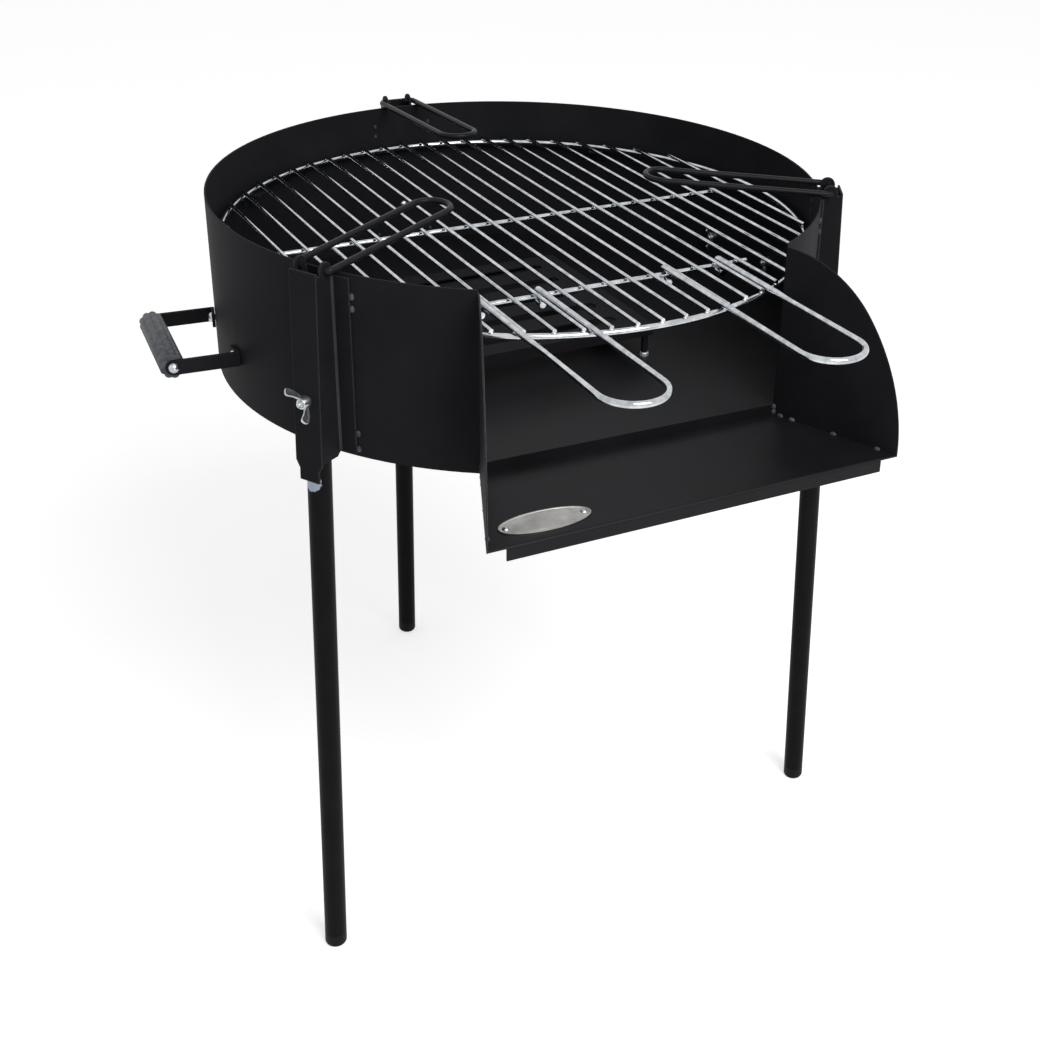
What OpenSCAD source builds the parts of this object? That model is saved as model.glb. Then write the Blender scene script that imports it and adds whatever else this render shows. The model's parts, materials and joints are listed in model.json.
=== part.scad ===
// Paella grill: a round fire drum on three splayed legs, open at the front, with
// a wire cooking grate inside and three folding wire arms that hold the pan.
// Millimetres, +Z up, front towards -Y. The origin is on the ground, under the
// centre of the drum.

/* [Drum] */
// Outer diameter of the round drum
drum_d = 600; // [560:5:660]
// Height of the drum wall
drum_h = 170; // [160:5:220]
// Thickness of the drum, floor, wing and shelf sheet
sheet_t = 1.5; // [1:0.1:2.5]
// Height of the drum's top rim above the ground
rim_z = 730; // [650:5:850]
// Height of the drum floor above the bottom edge of the wall
floor_lift = 10; // [6:1:20]
// Half of the angle that the front mouth takes out of the wall
mouth_half_angle = 30.3; // [26:0.1:33]
// Turn of the mouth, wings and shelf about the drum's centre
front_turn = -2.3; // [-4:0.1:4]

/* [Front shelf and wings] */
// Length of a wing from the wall to the shelf's front edge
wing_len = 133; // [110:1:150]
// Distance of a wing's top corner below the rim
wing_drop = 3; // [1:1:12]
// Radius of the upper round of a wing
wing_top_r = 115; // [95:1:120]
// Outward flare of the wings from the front direction
wing_flare = 22.85; // [18:0.1:26]
// Turn of both wings towards the right
wing_skew = 2.3; // [0:0.1:4]
// Depth of the folded front lip
lip_h = 13; // [8:1:25]
// Distance of each lip end from the shelf's corner
lip_inset = 18; // [8:1:30]
// Outer radius of the fold between shelf and lip
fold_r = 3; // [2:0.5:5]
// Width of the shelf's strip under the drum floor
shelf_tuck = 8; // [4:1:14]

/* [Badge plate] */
// Length of the oval plate
badge_l = 88; // [60:1:110]
// Width of the oval plate
badge_w = 34; // [24:1:40]
// Radius of the oval plate's ends
badge_end_r = 9; // [7:1:11]
// Thickness of the oval plate
badge_t = 0.8; // [0.5:0.1:2]
// Distance of the plate's centre from the shelf's left corner
badge_x = 64; // [60:1:100]
// Distance of the plate's centre from the shelf's front edge
badge_inset = 26; // [21:1:40]
// Diameter of a rivet head
rivet_d = 6; // [4:0.5:8]

/* [Fire plate] */
// Width of the fire plate from side to side
plate_w = 194; // [160:2:220]
// Depth of the fire plate from front to back
plate_d = 218; // [180:2:230]
// Height of the plate's upper face above the drum floor
plate_h = 35; // [25:1:50]
// Thickness of the plate's steel
plate_t = 2; // [1.5:0.5:4]
// Depth of the folded edge
plate_skirt = 12; // [8:1:20]
// Distance of the plate's centre from the drum's axis, to the right
plate_x = -5; // [-10:1:10]
// Distance of the plate's centre from the drum's axis, to the back
plate_y = -9; // [-20:1:10]
// Number of slots
slot_n = 5; // [3:1:5]
// Spacing of the slots
slot_pitch = 40.5; // [36:0.5:42]
// Length of a slot
slot_l = 152; // [120:2:160]
// Width of a slot
slot_w = 15; // [8:1:18]
// Diameter of a plate leg
plate_leg_d = 7; // [5:0.5:9]
// Height of the zinc glide under a plate leg
glide_h = 4; // [3:0.5:6]

/* [Legs] */
// Outer diameter of the leg tube
leg_d = 22; // [18:0.5:24]
// Wall of the leg tube
leg_wall = 1.5; // [1:0.25:2.5]
// Outward lean of the legs
leg_splay = 2.1; // [1.5:0.1:3]
// Height of a leg's top end below the rim
leg_top_drop = 85; // [60:1:100]
// Height of the plastic foot cap
cap_h = 14; // [10:1:25]
// Length of the cap's plug inside the tube
cap_plug = 22; // [12:1:40]
// Edge radius of the foot cap
cap_round = 5; // [3:0.5:7]

/* [Leg brackets] */
// Thickness of the bracket's sheet
bracket_t = 2; // [1.5:0.25:3]
// Outer width of the bracket's channel
bracket_w = 29; // [28.5:0.5:32]
// Width over the two lips that are welded to the drum
bracket_lip_w = 62; // [54:1:70]
// Distance of the lips' upper ends below the rim
lip_top_drop = 3; // [3:1:30]
// Distance of the lips' lower ends above the wall's bottom edge
lip_bottom_rise = 2; // [2:1:20]
// Radius of the ears that carry the arm
ear_r = 7.5; // [6.5:0.25:8]
// Height of the web's top edge above the rim
web_top_rise = 2; // [0:1:4]
// Length of the web's tongue below the channel
tongue_l = 18; // [10:1:26]
// Width of the web's tongue
tongue_w = 21; // [14:1:24]
// Size of the chamfers between channel and tongue
tongue_chamfer = 7; // [3:1:9]

/* [Clamp screws] */
// Diameter of every bolt
bolt_d = 6; // [4:0.5:7]
// Height of the clamp screw below the rim
clamp_drop = 115; // [105:1:125]
// Length of the bolt's end that shows past the wing nut
bolt_end = 3; // [1:0.5:6]
// Span over the tips of a wing nut
nut_span = 36; // [30:1:38]
// Height of a wing nut's hub
nut_hub_h = 8; // [6:0.5:10]
// Height of the wings above the seat
nut_wing_h = 18; // [15:0.5:20]
// Turn of the wing nuts from level
nut_turn = 50; // [0:5:90]

/* [Paella arms] */
// Diameter of the arm's wire
arm_wire_d = 6; // [5:0.25:7]
// Radius of the bend at each end of an arm's wire
arm_bend_r = 4; // [3.5:0.5:6]
// Distance of an arm's tip from the drum's axis
arm_tip_r = 123; // [100:1:170]
// Rise of an arm towards the drum's axis
arm_rise = 2.6; // [2:0.1:6]
// Distance of an arm's pivot from the drum wall
pin_out = 9; // [8.5:0.5:10]
// Length of a wire's end inside the bracket's channel
pin_tail = 3; // [2:0.5:5]

/* [Cooking grate] */
// Gap between the middle of the ring's wire and the drum wall
grate_gap = 9.5; // [8:0.5:14]
// Diameter of the ring's wire
ring_wire_d = 6; // [5:0.5:7]
// Height of the middle of the ring below the rim
grate_drop = 45; // [44:1:60]
// Diameter of a bar
bar_d = 4; // [3:0.5:5]
// Spacing of the bars
bar_pitch = 23.9; // [23:0.1:26]
// Shift of the bars from the drum's axis, to the right
bar_shift = -4.7; // [-8:0.1:8]
// Diameter of a cross bar
cross_d = 5; // [4:0.5:6]
// Distance of the front cross bar from the drum's axis
cross_front_y = 185; // [150:1:200]
// Length of the front cross bar
cross_front_l = 312; // [280:2:340]
// Distance of the rear cross bar behind the drum's axis
cross_rear_y = 8; // [0:1:60]
// Length of the rear cross bar
cross_rear_l = 484; // [420:2:520]
// Width of the lugs on the wall that carry the ring
lug_w = 16; // [12:1:24]
// Height of a lug's upright side
lug_h = 14; // [10:1:20]
// Thickness of a lug
lug_t = 2; // [1.5:0.5:3]
// Reach of a lug past the middle of the ring's wire
lug_reach = 10; // [6:1:14]

/* [Grate handles] */
// Diameter of a handle's wire
handle_wire_d = 6; // [5:0.25:6.5]
// Distance of a handle's middle from the grate's middle, in bar spacings
handle_bars = 4; // [3:1:5]
// Distance between the two rods of a handle, in bar spacings
handle_gap_bars = 2.5; // [2.5:1:3.5]
// Reach of a handle in front of the drum's axis
handle_reach = 430; // [400:1:460]
// Length of the straight end of a handle's hook
hook_tail = 8; // [4:1:12]

/* [Side handles] */
// Place of the left handle round the drum, from the right side
side_angle = 174.8; // [170:0.1:180]
// Distance of the handle's middle below the rim
side_drop = 124; // [110:1:130]
// Distance of the grip from the drum wall
grip_out = 55; // [45:1:70]
// Distance between the two straps
strap_gap = 115; // [95:1:130]
// Height of a strap
strap_h = 14; // [12:0.5:18]
// Thickness of a strap
strap_t = 3; // [2:0.5:4]
// Length of a strap's foot on the wall
foot_l = 18; // [14:1:22]
// Diameter of the grip over its ribs
grip_d = 22; // [18:0.5:28]
// Number of ribs round the grip
grip_ribs = 9; // [6:1:12]
// Diameter of a bolt head
head_d = 10; // [8:0.5:11]
// Height of a bolt head
head_h = 3.5; // [2:0.25:5]

/* [Fits] */
// Radial clearance of a running fit
run_fit = 0.05; // [0.03:0.01:0.1]
// Radial clearance of a bolt in its hole
hole_fit = 0.2; // [0.1:0.05:0.5]
// Small gap between pieces that lie on each other
seat_gap = 0.2; // [0.1:0.05:0.3]
// Gap between wires that hook round each other
wire_gap = 0.3; // [0.3:0.1:0.6]

/* [Hidden] */
$fn = 96;
steel_black = "#2b2b2e";
zinc = "#c9cccf";
plastic_black = "#1a1a1c";
plate_metal = "#b9b6ae";
LEFT = 210;
RIGHT = 330;
REAR = 90;
PLACES = [LEFT, RIGHT, REAR];
LUGS = [45, 135, 225, 315];
eps = 0.01;
big = 1000;
drill_l = 20;

drum_r = drum_d / 2;
drum_in_r = drum_r - sheet_t;
base_z = rim_z - drum_h;
floor_z = base_z + floor_lift;
mouth_x = drum_r * sin(mouth_half_angle);
mouth_y = -drum_r * cos(mouth_half_angle);
wing_h = drum_h - wing_drop;
wing_low_r = (wing_len * wing_len + (wing_h - wing_top_r) * (wing_h - wing_top_r)
  - wing_top_r * wing_top_r) / (2 * (wing_len - wing_top_r));
left_flare = wing_flare - wing_skew;
right_flare = wing_flare + wing_skew;
left_corner = [-mouth_x - wing_len * sin(left_flare), mouth_y - wing_len * cos(left_flare)];
right_corner = [mouth_x + wing_len * sin(right_flare), mouth_y - wing_len * cos(right_flare)];
edge_l = norm(right_corner - left_corner);
edge_turn = asin((right_corner[1] - left_corner[1]) / edge_l);

// A leg leans, so its bracket, bolt and wing nut are drawn in the leg's own frame:
// its Z runs up the leg, its X points away from the drum and its origin is the
// middle of the foot on the ground.
leg_top_z = rim_z - leg_top_drop;
leg_top_r = drum_r + (leg_d / 2) / cos(leg_splay) + 2 * seat_gap;
leg_foot_r = leg_top_r + leg_top_z * tan(leg_splay);
web_in = leg_d / 2 + seat_gap;
web_out = web_in + bracket_t;
clamp_z = rim_z - clamp_drop;
clamp_wall_gap = (leg_foot_r - clamp_z * tan(leg_splay) - drum_in_r) * cos(leg_splay);

pin_r = drum_r + pin_out;
pin_z = rim_z + seat_gap + (arm_wire_d / 2) / cos(arm_rise) - pin_out * tan(arm_rise);
pin_l = seat_gap + bracket_t + pin_tail;
rod_y = bracket_w / 2 + seat_gap + arm_bend_r;
arm_end_x = pin_r - arm_tip_r - arm_wire_d / 2 - rod_y;

grate_r = drum_in_r - grate_gap;
ring_z = rim_z - grate_drop;
ring_top = ring_z + ring_wire_d / 2;
bar_z = ring_top + bar_d / 2;
least_end_gap = 16;
bars_each_side = floor((grate_r - least_end_gap - abs(bar_shift)) / bar_pitch);
cross_z = bar_z - bar_d / 2 - cross_d / 2;

// A lift handle hooks round the front cross bar and rests just above the ring,
// so its rods dip a little towards the front
handle_eye_r = cross_d / 2 + wire_gap + handle_wire_d / 2;
handle_dip = atan((cross_z + handle_eye_r - handle_wire_d / 2 - wire_gap - ring_top)
  / (grate_r - cross_front_y));
handle_x = handle_bars * bar_pitch;
handle_gap = handle_gap_bars * bar_pitch;

side_z = rim_z - side_drop;
grip_r = drum_r + grip_out;
foot_angle = asin((strap_gap / 2 - foot_l / 2 + seat_gap) / drum_r);
strap_in = strap_gap / 2 - strap_t / 2;

// Turns what is drawn on the +X side to a place round the drum
module around(angle) {
  rotate([0, 0, angle]) children();
}

// The leg's own frame at a place round the drum
module leg_frame(angle) {
  around(angle) translate([leg_foot_r, 0, 0]) rotate([0, -leg_splay, 0]) children();
}

// The clamp screw's own frame: +Z points away from the drum, along the screw
module clamp_frame(angle) {
  leg_frame(angle) translate([0, 0, clamp_z / cos(leg_splay)]) rotate([0, 90, 0]) children();
}

// The frame of the mouth, the wings and the shelf
module front() {
  rotate([0, 0, front_turn]) children();
}

// A bolt frame on the wall at one foot of the left side handle; +Z points outwards
module side_bolt_frame(side) {
  around(side_angle + side * foot_angle) translate([0, 0, side_z]) rotate([0, 90, 0]) children();
}

module both_sides() {
  children();
  mirror([1, 0, 0]) children();
}

// A straight round rod along +X
module rod_x(length, diameter) {
  rotate([0, 90, 0]) cylinder(h = length, d = diameter);
}

// A wire bent round the Z axis: its middle runs at radius r through an angle
module wire_arc(r, diameter, angle) {
  rotate_extrude(angle = angle) translate([r, 0]) circle(d = diameter);
}

// A low domed bolt head on the XY plane, rising along +Z
module bolt_head() {
  sphere_r = (head_d * head_d / 4 + head_h * head_h) / (2 * head_h);
  intersection() {
    translate([0, 0, head_h - sphere_r]) sphere(r = sphere_r);
    cylinder(h = head_h + 1, d = head_d);
  }
}

// A wing nut on the XY plane with its bore along Z
module wing_nut(span, wing_h, tip_r) {
  hub_low_r = bolt_d / 2 + 3.4;
  hub_top_r = bolt_d / 2 + 1.8;
  wing_t = 2;
  difference() {
    union() {
      rotate_extrude() polygon([
        [0, 0], [hub_low_r, 0], [hub_low_r, 2], [hub_top_r, nut_hub_h], [0, nut_hub_h]
      ]);
      rotate([90, 0, 0]) translate([0, 0, -wing_t / 2]) linear_extrude(wing_t) {
        for (side = [0, 1]) mirror([side, 0]) {
          translate([span / 2 - tip_r, wing_h - tip_r]) circle(r = tip_r);
          polygon([
            [0, 1.5], [hub_low_r, 1.5], [span / 2, wing_h - tip_r],
            [span / 2 - 2 * tip_r, wing_h - tip_r], [hub_top_r - 1, nut_hub_h - 1], [0, nut_hub_h - 1]
          ]);
        }
      }
    }
    translate([0, 0, -1]) cylinder(h = wing_h + 2, r = bolt_d / 2 + run_fit);
  }
}

module drum_wall() {
  color(steel_black) difference() {
    front() around(mouth_half_angle - 90)
      rotate_extrude(angle = 360 - 2 * mouth_half_angle)
        translate([drum_in_r, base_z]) square([sheet_t, drum_h]);
    for (place = PLACES) clamp_frame(place)
      translate([0, 0, -clamp_wall_gap - drill_l / 2]) cylinder(h = drill_l, r = bolt_d / 2 + hole_fit);
    both_sides() for (side = [-1, 1]) side_bolt_frame(side)
      translate([0, 0, drum_r - drill_l / 2]) cylinder(h = drill_l, r = bolt_d / 2 + hole_fit);
  }
}

module drum_floor() {
  disc_r = drum_in_r - seat_gap;
  flange_x = mouth_x - sheet_t - 2 * seat_gap;
  color(steel_black) front() {
    translate([0, 0, floor_z - sheet_t]) intersection() {
      cylinder(h = sheet_t, r = disc_r);
      translate([-big / 2, mouth_y, -1]) cube([big, big, sheet_t + 2]);
    }
    translate([-flange_x, mouth_y, base_z]) cube([2 * flange_x, sheet_t, floor_lift]);
  }
}

// The outline of a wing: straight at the wall and along the foot, and between
// them two arcs that meet with one tangent
module wing_outline() {
  top_y = wing_h - wing_top_r;
  low_x = wing_len - wing_low_r;
  intersection() {
    square([wing_len, wing_h]);
    union() {
      translate([0, top_y]) circle(r = wing_top_r, $fn = 180);
      intersection() {
        translate([low_x, 0]) circle(r = wing_low_r, $fn = 180);
        polygon([[0, 0], [wing_len, 0], [wing_len, top_y - top_y * wing_len / low_x], [0, top_y]]);
      }
    }
  }
}

module wing(flare) {
  translate([mouth_x, mouth_y, base_z]) rotate([0, 0, flare - 90])
    translate([0, -sheet_t, 0]) rotate([90, 0, 0])
      translate([0, 0, -sheet_t]) linear_extrude(sheet_t) wing_outline();
}

module left_wing() {
  color(steel_black) front() mirror([1, 0, 0]) wing(left_flare);
}

module right_wing() {
  color(steel_black) front() wing(right_flare);
}

// The frame of the shelf's front edge: +X runs along it from the left corner
module shelf_edge() {
  translate([left_corner[0], left_corner[1], base_z]) rotate([0, 0, edge_turn]) children();
}

module front_shelf() {
  tuck_x = sqrt(drum_in_r * drum_in_r - mouth_y * mouth_y) - 1;
  lip_l = edge_l - 2 * lip_inset;
  color(steel_black) front() difference() {
    union() {
      translate([0, 0, base_z - sheet_t]) linear_extrude(sheet_t) polygon([
        left_corner, right_corner, [mouth_x, mouth_y],
        [tuck_x, mouth_y], [tuck_x, mouth_y + shelf_tuck],
        [-tuck_x, mouth_y + shelf_tuck], [-tuck_x, mouth_y], [-mouth_x, mouth_y]
      ]);
      shelf_edge() translate([lip_inset, 0, -lip_h]) cube([lip_l, sheet_t, lip_h]);
      shelf_edge() translate([lip_inset, 0, -fold_r]) cube([lip_l, fold_r, fold_r]);
    }
    // The fold is round outside and inside
    shelf_edge() translate([lip_inset, fold_r, -fold_r]) rotate([0, 90, 0]) {
      difference() {
        translate([-fold_r - 1, -fold_r - 1, -eps]) cube([fold_r + 1, fold_r + 1, lip_l + 2 * eps]);
        translate([0, 0, -1]) cylinder(h = lip_l + 2, r = fold_r);
      }
      translate([0, 0, -1]) cylinder(h = lip_l + 2, r = fold_r - sheet_t);
    }
  }
}

module badge_frame() {
  front() shelf_edge() translate([badge_x, badge_inset, 0]) children();
}

// An oval of four arcs: two long ones and the two round ends, which meet with one
// tangent; the long arcs end a little inside the round ends
module badge_outline(grow) {
  half_w = badge_w / 2 + grow;
  end_r = badge_end_r + grow;
  end_x = badge_l / 2 - badge_end_r;
  arc_r = (end_x * end_x + half_w * half_w - end_r * end_r) / (2 * (half_w - end_r));
  join_x = end_x * arc_r / (arc_r - end_r) - 1;
  for (side = [-1, 1]) translate([side * end_x, 0]) circle(r = end_r);
  intersection() {
    translate([0, half_w - arc_r]) circle(r = arc_r, $fn = 180);
    translate([0, arc_r - half_w]) circle(r = arc_r, $fn = 180);
    square([2 * join_x, badge_w], center = true);
  }
}

module badge_plate() {
  rim_w = 1.4;
  color(plate_metal) badge_frame() difference() {
    union() {
      linear_extrude(badge_t) badge_outline(0);
      linear_extrude(badge_t + 0.4) difference() {
        badge_outline(0);
        badge_outline(-rim_w);
      }
    }
    for (side = [-1, 1]) translate([side * rivet_x(), 0, -1])
      cylinder(h = badge_t + 2, r = rivet_d / 4 + run_fit);
  }
}

function rivet_x() = badge_l / 2 - 1.4 * rivet_d;

module badge_rivets() {
  rivet_h = 1.6;
  dome_r = (rivet_d * rivet_d / 4 + rivet_h * rivet_h) / (2 * rivet_h);
  color(zinc) for (side = [-1, 1]) badge_frame() translate([side * rivet_x(), 0, 0]) {
    cylinder(h = badge_t + rivet_h / 2, r = rivet_d / 4);
    intersection() {
      translate([0, 0, badge_t + rivet_h - dome_r]) sphere(r = dome_r);
      translate([0, 0, badge_t]) cylinder(h = rivet_h, d = rivet_d);
    }
  }
}

// Repeats its children at the four corners of the fire plate
module plate_corners() {
  inset = plate_leg_d / 2 + plate_t + seat_gap;
  for (sx = [-1, 1], sy = [-1, 1])
    translate([plate_x + sx * (plate_w / 2 - inset), plate_y + sy * (plate_d / 2 - inset), floor_z])
      children();
}

module fire_plate() {
  slots_shift_x = -7;
  slots_shift_y = 0.5;
  color(steel_black) translate([plate_x, plate_y, floor_z + plate_h]) difference() {
    translate([-plate_w / 2, -plate_d / 2, -plate_skirt]) cube([plate_w, plate_d, plate_skirt]);
    translate([-plate_w / 2 + plate_t, -plate_d / 2 + plate_t, -plate_skirt - 1])
      cube([plate_w - 2 * plate_t, plate_d - 2 * plate_t, plate_skirt - plate_t + 1]);
    for (i = [0 : slot_n - 1])
      translate([slots_shift_x, slots_shift_y + (i - (slot_n - 1) / 2) * slot_pitch, -plate_t - 1])
        linear_extrude(plate_t + 2) {
          square([slot_l - slot_w, slot_w], center = true);
          for (side = [-1, 1]) translate([side * (slot_l - slot_w) / 2, 0]) circle(d = slot_w);
        }
  }
}

module fire_plate_legs() {
  color(steel_black) plate_corners() translate([0, 0, glide_h])
    cylinder(h = plate_h - plate_t - glide_h, d = plate_leg_d);
}

module fire_plate_glides() {
  glide_round = 1.5;
  glide_r = plate_leg_d / 2 + 1.2;
  color(zinc) plate_corners() rotate_extrude() difference() {
    square([glide_r, glide_h]);
    translate([glide_r - glide_round, glide_h - glide_round]) difference() {
      square(glide_round + 1);
      circle(r = glide_round);
    }
  }
}

// One cheek of the bracket's channel, seen from the side: it runs from the drum
// wall to the leaning web, with an ear at the top for the arm
module cheek_outline() {
  low_z = base_z - 2;
  low_round = 6;
  web_r_low = leg_foot_r + web_out / cos(leg_splay) - low_z * tan(leg_splay);
  web_r_top = leg_foot_r + web_out / cos(leg_splay) - rim_z * tan(leg_splay);
  intersection() {
    union() {
      polygon([
        [drum_r, low_z + low_round], [drum_r + low_round, low_z],
        [web_r_low, low_z], [web_r_top, rim_z], [drum_r, rim_z]
      ]);
      translate([pin_r, pin_z]) circle(r = ear_r);
    }
    translate([drum_r + seat_gap, 0]) square([big, big]);
  }
}

module leg_bracket(place) {
  web_low = (base_z - 4) / cos(leg_splay);
  web_top = (rim_z + web_top_rise) / cos(leg_splay);
  lip_low = base_z + lip_bottom_rise;
  lip_top = rim_z - lip_top_drop;
  lip_angle = asin(bracket_lip_w / 2 / drum_r);
  color(steel_black) difference() {
    union() {
      around(place) for (side = [-1, 1]) {
        translate([0, side * (bracket_w / 2 - bracket_t / 2) + bracket_t / 2, 0])
          rotate([90, 0, 0]) linear_extrude(bracket_t) cheek_outline();
        intersection() {
          rotate([0, 0, -lip_angle]) rotate_extrude(angle = 2 * lip_angle)
            translate([drum_r + seat_gap / 2, lip_low]) square([bracket_t, lip_top - lip_low]);
          translate([0, side > 0 ? bracket_w / 2 - bracket_t : -big - bracket_w / 2 + bracket_t, 0])
            cube([big, big, big]);
        }
      }
      leg_frame(place) translate([web_in, 0, 0]) rotate([90, 0, 90]) linear_extrude(bracket_t)
        polygon([
          [-bracket_w / 2, web_top], [-bracket_w / 2, web_low],
          [-tongue_w / 2, web_low - tongue_chamfer], [-tongue_w / 2, web_low - tongue_l],
          [tongue_w / 2, web_low - tongue_l], [tongue_w / 2, web_low - tongue_chamfer],
          [bracket_w / 2, web_low], [bracket_w / 2, web_top]
        ]);
    }
    clamp_frame(place) cylinder(h = drill_l, r = bolt_d / 2 + hole_fit);
    around(place) translate([pin_r, bracket_w, pin_z]) rotate([90, 0, 0])
      cylinder(h = 2 * bracket_w, r = arm_wire_d / 2 + run_fit);
  }
}

module leg(place) {
  length = leg_top_z / cos(leg_splay) - cap_h;
  color(steel_black) difference() {
    leg_frame(place) translate([0, 0, cap_h]) difference() {
      cylinder(h = length, d = leg_d);
      translate([0, 0, -1]) cylinder(h = length + 2, d = leg_d - 2 * leg_wall);
    }
    clamp_frame(place) translate([0, 0, -leg_d]) cylinder(h = 2 * leg_d, r = bolt_d / 2 + hole_fit);
  }
}

// A moulded cap with a plug in the tube; its round end is worn flat on the ground
module foot_cap(place) {
  dip = 1;
  color(plastic_black) difference() {
    leg_frame(place) {
      translate([0, 0, -dip]) rotate_extrude() {
        square([leg_d / 2 - cap_round, cap_h + dip]);
        translate([0, cap_round]) square([leg_d / 2, cap_h + dip - cap_round]);
        intersection() {
          translate([leg_d / 2 - cap_round, cap_round]) circle(r = cap_round);
          square([leg_d, cap_h]);
        }
      }
      translate([0, 0, cap_h - eps]) cylinder(h = cap_plug, d = leg_d - 2 * leg_wall - 2 * run_fit);
    }
    translate([-big, -big, -10]) cube([2 * big, 2 * big, 10]);
  }
}

module clamp_bolts() {
  color(zinc) for (place = PLACES) clamp_frame(place) {
    translate([0, 0, -clamp_wall_gap - 2 * seat_gap]) {
      cylinder(h = clamp_wall_gap + web_out + nut_hub_h + bolt_end, d = bolt_d);
      mirror([0, 0, 1]) bolt_head();
    }
  }
}

module clamp_nut(place) {
  color(zinc) clamp_frame(place) translate([0, 0, web_out + seat_gap / 2])
    rotate([0, 0, 90 - nut_turn]) wing_nut(nut_span, nut_wing_h, 5);
}

// A pan arm of one wire: its ends are bent inwards and turn in the bracket's ears, two
// rods run beside the ears towards the middle, and the far end is round. It is drawn
// with the pivot along Y through the origin and the rods along -X.
module paella_arm(place) {
  color(steel_black) around(place) translate([pin_r, 0, pin_z]) rotate([0, arm_rise, 0]) {
    for (side = [0, 1]) mirror([0, side, 0]) {
      translate([0, rod_y - arm_bend_r - pin_l, 0]) rotate([-90, 0, 0])
        cylinder(h = pin_l, d = arm_wire_d);
      translate([-arm_bend_r, rod_y - arm_bend_r, 0]) wire_arc(arm_bend_r, arm_wire_d, 90);
      translate([-arm_end_x, rod_y, 0]) rod_x(arm_end_x - arm_bend_r, arm_wire_d);
    }
    translate([-arm_end_x, 0, 0]) rotate([0, 0, 90]) wire_arc(rod_y, arm_wire_d, 180);
  }
}

// Four small angles on the wall that carry the grate's ring
module grate_supports() {
  lug_l = grate_gap + lug_reach;
  lug_top = ring_z - ring_wire_d / 2;
  lug_back = drum_in_r - seat_gap - lug_w * lug_w / 8 / drum_in_r;
  color(steel_black) for (place = LUGS) around(place)
    translate([lug_back - lug_l, -lug_w / 2, lug_top - lug_t]) {
      cube([lug_l, lug_w, lug_t]);
      translate([lug_l - lug_t, 0, lug_t - lug_h]) cube([lug_t, lug_w, lug_h]);
    }
}

module grate_ring() {
  color(zinc) translate([0, 0, ring_z]) wire_arc(grate_r, ring_wire_d, 360);
}

// The bars lie on the ring and end over its outer side. Their lengths go in steps of
// a fifth of a millimetre.
module grate_bars() {
  bar_end_r = grate_r + 1;
  color(zinc) for (i = [-bars_each_side : bars_each_side]) {
    x = bar_shift + i * bar_pitch;
    half_l = round(10 * sqrt(bar_end_r * bar_end_r - x * x)) / 10;
    translate([x, -half_l, bar_z]) rotate([-90, 0, 0]) cylinder(h = 2 * half_l, d = bar_d);
  }
}

module grate_cross_bars() {
  color(zinc) translate([bar_shift, 0, cross_z]) {
    translate([-cross_front_l / 2, -cross_front_y, 0]) rod_x(cross_front_l, cross_d);
    translate([-cross_rear_l / 2, cross_rear_y, 0]) rod_x(cross_rear_l, cross_d);
  }
}

// A lift handle: two hooks round the front cross bar, two rods over the ring and
// a round end in front of the drum
module grate_handle(side) {
  rod_l = handle_reach - handle_gap / 2 - cross_front_y;
  color(zinc) translate([bar_shift + side * handle_x, -cross_front_y, cross_z]) rotate([handle_dip, 0, 0]) {
    for (s = [-1, 1]) translate([s * handle_gap / 2, 0, 0]) {
      rotate([90, 0, 90]) rotate([0, 0, -90]) wire_arc(handle_eye_r, handle_wire_d, 180);
      translate([0, 0, handle_eye_r]) rotate([90, 0, 0]) cylinder(h = rod_l, d = handle_wire_d);
      translate([0, 0, -handle_eye_r]) rotate([90, 0, 0]) cylinder(h = hook_tail, d = handle_wire_d);
    }
    translate([0, -rod_l, handle_eye_r]) rotate([0, 0, 180])
      wire_arc(handle_gap / 2, handle_wire_d, 180);
  }
}

// The two flat straps of the left side handle: a foot on the wall, a bend, and a
// rounded end round the grip's bolt
module side_straps() {
  bend_y = strap_in;
  start_x = sqrt(drum_r * drum_r - bend_y * bend_y) + 1.2;
  difference() {
    around(side_angle) for (side = [-1, 1]) {
      intersection() {
        translate([0, side * strap_gap / 2 - strap_t / 2, side_z - strap_h / 2])
          cube([big, strap_t, strap_h]);
        translate([0, big / 2, side_z]) rotate([90, 0, 0]) linear_extrude(big) {
          translate([start_x, -strap_h / 2]) square([grip_r - start_x, strap_h]);
          translate([grip_r, 0]) circle(d = strap_h);
        }
      }
      rotate([0, 0, side * foot_angle])
        translate([drum_r + seat_gap, -foot_l / 2, side_z - strap_h / 2])
          cube([strap_t, foot_l, strap_h]);
    }
    for (side = [-1, 1]) side_bolt_frame(side)
      translate([0, 0, drum_r - drill_l / 2]) cylinder(h = drill_l, r = bolt_d / 2 + hole_fit);
    around(side_angle) translate([grip_r, strap_gap, side_z]) rotate([90, 0, 0])
      cylinder(h = 2 * strap_gap, r = bolt_d / 2 + hole_fit);
  }
}

module left_handle_straps() {
  color(steel_black) side_straps();
}

module right_handle_straps() {
  color(steel_black) mirror([1, 0, 0]) side_straps();
}

// A moulded grip with round ribs along it
module side_grip() {
  grip_l = 2 * (strap_in - seat_gap);
  rib_r = 0.125 * grip_d;
  core_r = grip_d / 2 - rib_r;
  around(side_angle) translate([grip_r, grip_l / 2, side_z]) rotate([90, 0, 0]) difference() {
    union() {
      linear_extrude(grip_l) {
        circle(r = core_r);
        for (i = [0 : grip_ribs - 1]) rotate(i * 360 / grip_ribs) translate([core_r, 0])
          circle(r = rib_r);
      }
    }
    translate([0, 0, -1]) cylinder(h = grip_l + 2, r = bolt_d / 2 + hole_fit);
  }
}

module left_grip() {
  color(plastic_black) side_grip();
}

module right_grip() {
  color(plastic_black) mirror([1, 0, 0]) side_grip();
}

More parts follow.
